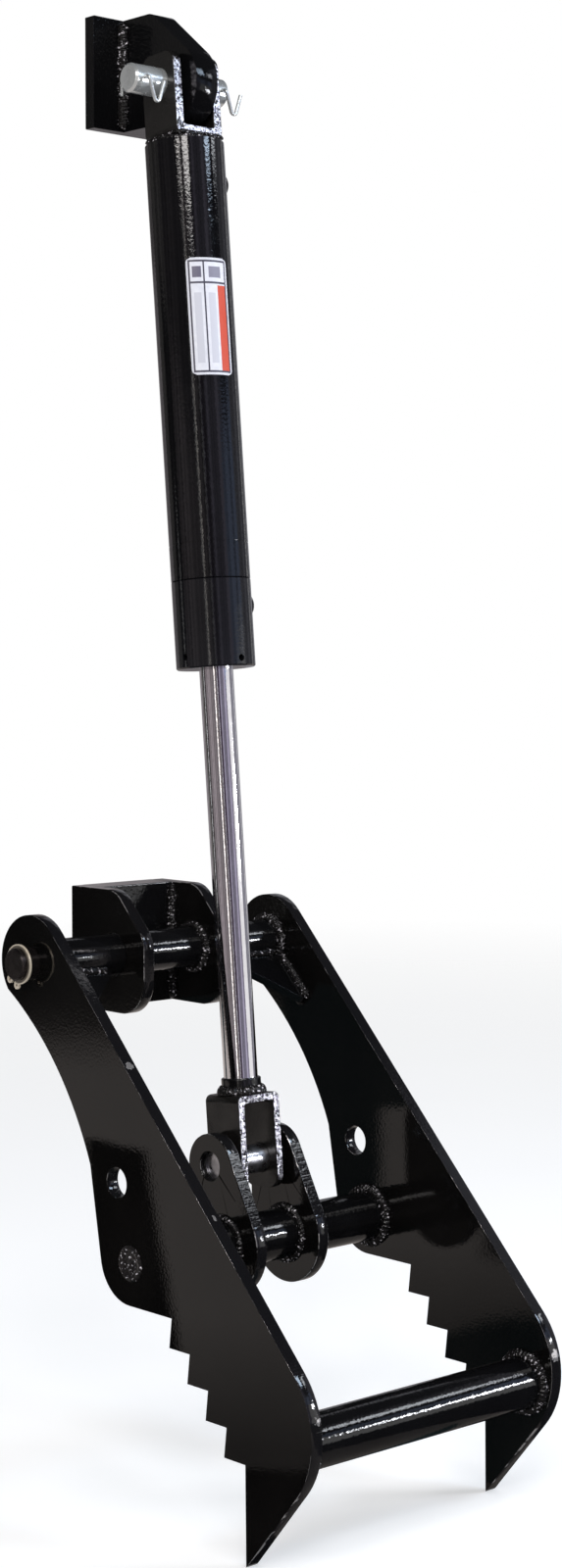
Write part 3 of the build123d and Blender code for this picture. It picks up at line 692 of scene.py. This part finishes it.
# Fields as shares of the film: left, right, top, bottom and colour
BORDER_OUTSIDE = (0.045, 0.955, 0.02, 0.98)
BORDER_INSIDE = (0.085, 0.915, 0.037, 0.963)
LABEL_FIELDS = (
    ((0.70, 0.915, 0.235, 0.963), ORANGE),
    ((0.37, 0.405, 0.037, 0.963), RULE),
    ((0.085, 0.915, 0.205, 0.222), RULE),
    ((0.15, 0.31, 0.30, 0.90), PALE_GREY),
    ((0.47, 0.64, 0.30, 0.90), PALE_GREY),
    ((0.13, 0.33, 0.075, 0.17), rgb(0.12, 0.11, 0.16)),
    ((0.50, 0.80, 0.075, 0.17), rgb(0.22, 0.21, 0.27)),
)


def label_look():
    look = Look("label_film", roughness=0.28, specular=0.5)
    grid = look.add("ShaderNodeUVMap")
    split = look.add("ShaderNodeSeparateXYZ")
    look.feed(split.inputs[0], grid.outputs["UV"])
    across, down = split.outputs[0], split.outputs[1]

    def band(value, low, high):
        above = look.math("GREATER_THAN", value, low)
        below = look.math("LESS_THAN", value, high)
        return look.math("MULTIPLY", above, below)

    def field(left, right, top, bottom):
        return look.math("MULTIPLY", band(across, left, right), band(down, top, bottom))

    color = look.blend(look.span(look.noise(200, 3), 0.3, 0.7), *FILM_TONES)
    border = look.math("SUBTRACT", field(*BORDER_OUTSIDE), field(*BORDER_INSIDE))
    color = look.blend(border, color, RULE)
    for edges, tint in LABEL_FIELDS:
        color = look.blend(field(*edges), color, tint)
    look.set(Base_Color=color)
    look.set(Roughness=look.span(look.noise(90, 3), 0.3, 0.7, 0.34, 0.5))
    look.set(Normal=look.bump(look.noise(300, 2), 0.3, 0.00005))
    return look


def label_panel():
    """Film round the barrel, from a left to a right turn and from a top to a bottom station."""
    left, right = 139.5, 74.0
    top, bottom = 0.159, 0.2615
    radius = BARREL_RADIUS + 0.00012
    back, front = -0.00015, 0.00018
    corner = 0.0045
    columns, rows = 40, 56
    width = math.radians(left - right) * radius
    height = bottom - top
    points, coords = [], []
    for lift in (back, front):
        for row in range(rows + 1):
            down = row / rows
            edge = min(down, 1 - down) * height
            trim = 0.0
            if edge < corner:
                trim = (corner - math.sqrt(corner**2 - (corner - edge) ** 2)) / width
            for column in range(columns + 1):
                reach = trim + column / columns * (1 - 2 * trim)
                turn = left + (right - left) * reach
                points.append(ram(top + down * height, turn, radius + lift))
                coords.append((reach, down))
    span = columns + 1
    sheet = (rows + 1) * span
    faces = []
    for row in range(rows):
        for column in range(columns):
            under = row * span + column
            over = sheet + under
            faces.append((over, over + 1, over + 1 + span, over + span))
            faces.append((under, under + span, under + 1 + span, under + 1))
    for row in range(rows):
        for column in (0, columns):
            under = row * span + column
            over = sheet + under
            faces.append((under, over, over + span, under + span))
    for column in range(columns):
        for row in (0, rows):
            under = row * span + column
            over = sheet + under
            faces.append((under, under + 1, over + 1, over))
    obj = piece("label_panel", points, faces, label_look(), "barrel")
    layer = obj.data.uv_layers.new(name="UVMap")
    for loop in obj.data.loops:
        layer.data[loop.index].uv = coords[loop.vertex_index]


label_panel()

# Studio. A turn is in degrees to the right of the way from the part to the camera
FLOOR = cad_box[0][2] - 0.0005
TO_CAMERA = Vector((-0.670, -0.742, 0))
RIGHT = Vector((0.742, -0.670, 0))
STUDIO_CENTRE_Y = -0.15


def studio_place(turn, distance, height):
    """Point of the studio at a turn and a level distance from the part's middle."""
    angle = math.radians(turn)
    way = TO_CAMERA * math.cos(angle) + RIGHT * math.sin(angle)
    return way * distance + Vector((0, STUDIO_CENTRE_Y, height))


def background_rays(tree):
    """1 on the rays that show the background: from the camera, off gloss or through glass."""
    rays = tree.nodes.new("ShaderNodeLightPath").outputs
    share = rays["Is Camera Ray"]
    for kind in ("Is Glossy Ray", "Is Transmission Ray"):
        either = tree.nodes.new("ShaderNodeMath")
        either.operation = "MAXIMUM"
        tree.links.new(share, either.inputs[0])
        tree.links.new(rays[kind], either.inputs[1])
        share = either.outputs[0]
    return share


def square_corners(reach):
    return [(-reach, -reach), (reach, -reach), (reach, reach), (-reach, reach)]


def make_floor():
    """Pale floor that fades into the white world further out."""
    glow = 0.31
    fade_from, fade_to = 1.2, 4.5
    mesh = bpy.data.meshes.new("floor")
    mesh.from_pydata([(x, y, FLOOR) for x, y in square_corners(6.0)], [], [(0, 1, 2, 3)])
    obj = bpy.data.objects.new("floor", mesh)
    scene.collection.objects.link(obj)
    ground = Look("floor_card", roughness=0.9, specular=0.1)
    pale, less_pale = rgb(0.93, 0.93, 0.93), rgb(0.90, 0.90, 0.90)
    ground.set(Base_Color=ground.blend(ground.noise(3, 2), pale, less_pale))
    ground.set(Emission_Color=rgb(1.0, 1.0, 1.0))
    ground.set(Emission_Strength=ground.math("MULTIPLY", background_rays(ground.tree), glow))
    clear = ground.add("ShaderNodeBsdfTransparent")
    mixed = ground.add("ShaderNodeMixShader")
    ground.feed(mixed.inputs[0], ground.span(ground.away((0, 0, 0)), fade_from, fade_to))
    ground.feed(mixed.inputs[1], ground.shader.outputs[0])
    ground.feed(mixed.inputs[2], clear.outputs[0])
    ground.feed(ground.surface, mixed.outputs[0])
    mesh.materials.append(ground.material)


def flag(name, points, faces, tone, streaks=0.0, share=None):
    """Grey card of the studio that only polished surfaces mirror."""
    mesh = bpy.data.meshes.new(name)
    mesh.from_pydata([tuple(point) for point in points], [], faces)
    obj = bpy.data.objects.new(name, mesh)
    scene.collection.objects.link(obj)
    card = Look(name)
    glow = card.add("ShaderNodeEmission")
    card.feed(glow.inputs["Color"], tone)
    if streaks:
        bands = card.noise(streaks, 3, 0.6, card.stretch((1, 1, 0.02)))
        card.feed(glow.inputs["Strength"], card.span(bands, 0.35, 0.65, 0.3, 1.8))
    if share:
        card.feed(glow.inputs["Strength"], share(card))
    card.feed(card.surface, glow.outputs[0])
    mesh.materials.append(card.material)
    obj.visible_camera = False
    obj.visible_diffuse = False
    obj.visible_shadow = False


def wall_flag(name, start, end, low, high, tone, distance=3.3):
    """Upright streaked card, bent round the part from one turn to another."""
    steps = max(2, int(abs(end - start) / 6))
    points, faces = [], []
    for step in range(steps + 1):
        turn = start + (end - start) * step / steps
        points.append(studio_place(turn, distance, low))
        points.append(studio_place(turn, distance, high))
        if step:
            last = 2 * step
            faces.append((last - 2, last, last + 1, last - 1))
    flag(name, points, faces, tone, streaks=2.2)


def floor_flag(name, corners, tone, lift, share=None):
    """Level card at a lift over the floor."""
    points = [Vector((x, y, FLOOR + lift)) for x, y in corners]
    flag(name, points, [tuple(range(len(points)))], tone, share=share)


def shade_share(card):
    """Darker close to the toes and again far off."""
    away = card.away((-0.15, -0.32, FLOOR))
    near = card.span(away, 0.28, 0.75, 0.3, 1.0)
    far = card.span(away, 2.45, 3.0, 1.0, 0.1)
    return card.math("MULTIPLY", near, far)


make_floor()

# Walls: name, first and last turn, low and high edge, tone, and a distance where it is nearer
CEILING = 2.8
BLACK = rgb(0, 0, 0)
DARK_WALL = rgb(0.03, 0.029, 0.028)
WALLS = (
    ("wall_back_left_low", -180, -126, FLOOR, 1.0, rgb(0.27, 0.25, 0.26)),
    ("wall_back_left_high", -180, -126, 1.0, CEILING, rgb(0.14, 0.13, 0.13)),
    ("wall_left_back", -126, -108, FLOOR, CEILING, rgb(0.12, 0.115, 0.11)),
    ("wall_left_far", -108, -97.5, FLOOR, 0.55, DARK_WALL),
    ("wall_left_near", -94.5, -84, FLOOR, 0.55, DARK_WALL),
    ("wall_left_mid", -108, -84, 0.55, 1.0, DARK_WALL),
    ("wall_left_high", -108, -84, 1.0, CEILING, rgb(0.20, 0.19, 0.185)),
    ("wall_left_front_low", -84, -20, FLOOR, 1.0, rgb(0.26, 0.23, 0.24)),
    ("wall_left_front_high", -84, -20, 1.0, CEILING, rgb(0.10, 0.09, 0.095)),
    ("wall_slot", -16.2, -14.6, FLOOR, 1.6, rgb(3.4, 3.2, 3.0), 3.2),
    ("wall_front", -17, 1, FLOOR, CEILING, rgb(0.215, 0.19, 0.195)),
    ("wall_right_dark", 5, 14, FLOOR, CEILING, rgb(0.03, 0.02, 0.03), 3.25),
    ("wall_right_front", 2.5, 66, FLOOR, CEILING, rgb(0.30, 0.28, 0.36)),
    ("wall_window_haze", 56, 98, 0.7, 1.25, rgb(0.34, 0.42, 0.62), 3.25),
    ("wall_over_window", 66, 98, 1.25, CEILING, rgb(0.01, 0.01, 0.012)),
    ("wall_right", 98, 136, FLOOR, CEILING, rgb(0.30, 0.30, 0.34)),
    ("wall_back_right", 140, 180, FLOOR, CEILING, rgb(0.34, 0.34, 0.37)),
)
for wall in WALLS:
    wall_flag(*wall)

studio_square = square_corners(3.6)
floor_flag("ceiling", studio_square, rgb(0.02, 0.02, 0.022), CEILING - FLOOR)
floor_flag("floor_shade", studio_square, rgb(0.50, 0.455, 0.43), 0.002, shade_share)

# Dark cards that the side plates mirror: one left of the part, one close inside the left plate
heel_across, post_across = -0.31, -0.125
heel_corners = ((-0.0146, -0.197), (-0.072, -0.40), (0.075, -0.40), (0.075, -0.197))
heel_points = [at(heel_across, corner) for corner in heel_corners]
flag("heel_card", heel_points, [(0, 1, 2, 3)], BLACK)
post_upper = ((0.208, -0.091), (0.006, -0.072), (0.005, -0.204), (0.208, -0.231))
post_lower = ((0.05, -0.21), (0.05, -0.312), (0.208, -0.337), (0.208, -0.231))
post_points = [at(post_across, corner) for corner in post_upper + post_lower]
flag("post_card", post_points, [(0, 1, 2, 3), (4, 5, 6, 7)], rgb(0.022, 0.036, 0.04))

# Dark patches of the floor
tip_corners = ((-0.15, -0.01), (-0.50, -0.36), (-0.30, -0.55), (0.05, -0.20))
floor_flag("floor_shade_tip", tip_corners, BLACK, 0.003)
between_arc = ((-0.18, 0.03), (-0.222, 0.034), (-0.268, 0.042), (-0.302, 0.038), (-0.338, 0.005))
between_corners = between_arc + ((0.12, -0.43), (0.12, -0.22))
floor_flag("floor_shade_between", between_corners, rgb(0.02, 0.035, 0.038), 0.0035)
right_rim = ((42, 0.45), (50, 3.25), (78, 3.25), (106, 3.25), (130, 3.25), (138, 0.45))
right_corners = [studio_place(turn, distance, 0).xy for turn, distance in right_rim]
floor_flag("floor_shade_right", right_corners, rgb(0.01, 0.01, 0.012), 0.004)


def softbox(name, turn, distance, height, size, power, tint=(1.0, 1.0, 1.0)):
    """Area lamp that the camera doesn't see, aimed at the part's middle."""
    lamp = bpy.data.lights.new(name, "AREA")
    lamp.shape = "RECTANGLE"
    lamp.size, lamp.size_y = size
    lamp.energy = power
    lamp.color = tint
    obj = bpy.data.objects.new(name, lamp)
    obj.location = studio_place(turn, distance, height)
    target = Vector((0, STUDIO_CENTRE_Y, 0.2))
    obj.rotation_euler = (target - obj.location).to_track_quat("-Z", "Y").to_euler()
    obj.visible_camera = False
    scene.collection.objects.link(obj)


softbox("front_left", -20.5, 2.6, 1.82, (0.55, 0.6), 13, (1.0, 0.96, 0.93))
softbox("front_right", 1, 2.6, 1.82, (0.75, 0.6), 19, (1.0, 0.97, 0.95))
softbox("window", 71, 2.4, 1.81, (0.68, 0.55), 18, (0.66, 0.81, 1.0))
softbox("tube_light", 95, 3.1, 1.91, (0.74, 0.4), 7, (0.90, 0.94, 1.0))
softbox("tube_line", 88, 2.6, 0.29, (0.62, 0.13), 22, (0.92, 0.94, 1.0))
softbox("top", 20, 1.6, 2.2, (1.0, 1.0), 14)


def make_world():
    """White where it is seen, and a plain fill light everywhere else."""
    world = bpy.data.worlds.new("studio")
    world.use_nodes = True
    scene.world = world
    tree = world.node_tree
    tree.nodes.clear()
    mixed = tree.nodes.new("ShaderNodeMixShader")
    tree.links.new(background_rays(tree), mixed.inputs[0])
    fill_and_white = ((rgb(0.95, 0.97, 1.0), 0.45), (rgb(1.0, 1.0, 1.0), 1.0))
    for socket, (color, strength) in zip(mixed.inputs[1:], fill_and_white):
        background = tree.nodes.new("ShaderNodeBackground")
        background.inputs["Color"].default_value = color
        background.inputs["Strength"].default_value = strength
        tree.links.new(background.outputs[0], socket)
    output = tree.nodes.new("ShaderNodeOutputWorld")
    tree.links.new(mixed.outputs[0], output.inputs["Surface"])


make_world()

# Camera, fitted to the photograph: its focal length is in pixels of the photograph
FOCAL_PIXELS = 2655
PHOTO_HEIGHT = 1600
scene.view_settings.view_transform = "Standard"
camera_data = bpy.data.cameras.new("camera")
camera_data.sensor_fit = "VERTICAL"
camera_data.sensor_height = 36.0
camera_data.lens = FOCAL_PIXELS / PHOTO_HEIGHT * camera_data.sensor_height
camera_data.clip_start = 0.05
camera = bpy.data.objects.new("camera", camera_data)
camera.location = (-1.497, -1.884, 0.280)
camera.rotation_euler = (math.radians(86.8), 0.0, math.radians(-42.08))
scene.collection.objects.link(camera)
scene.camera = camera
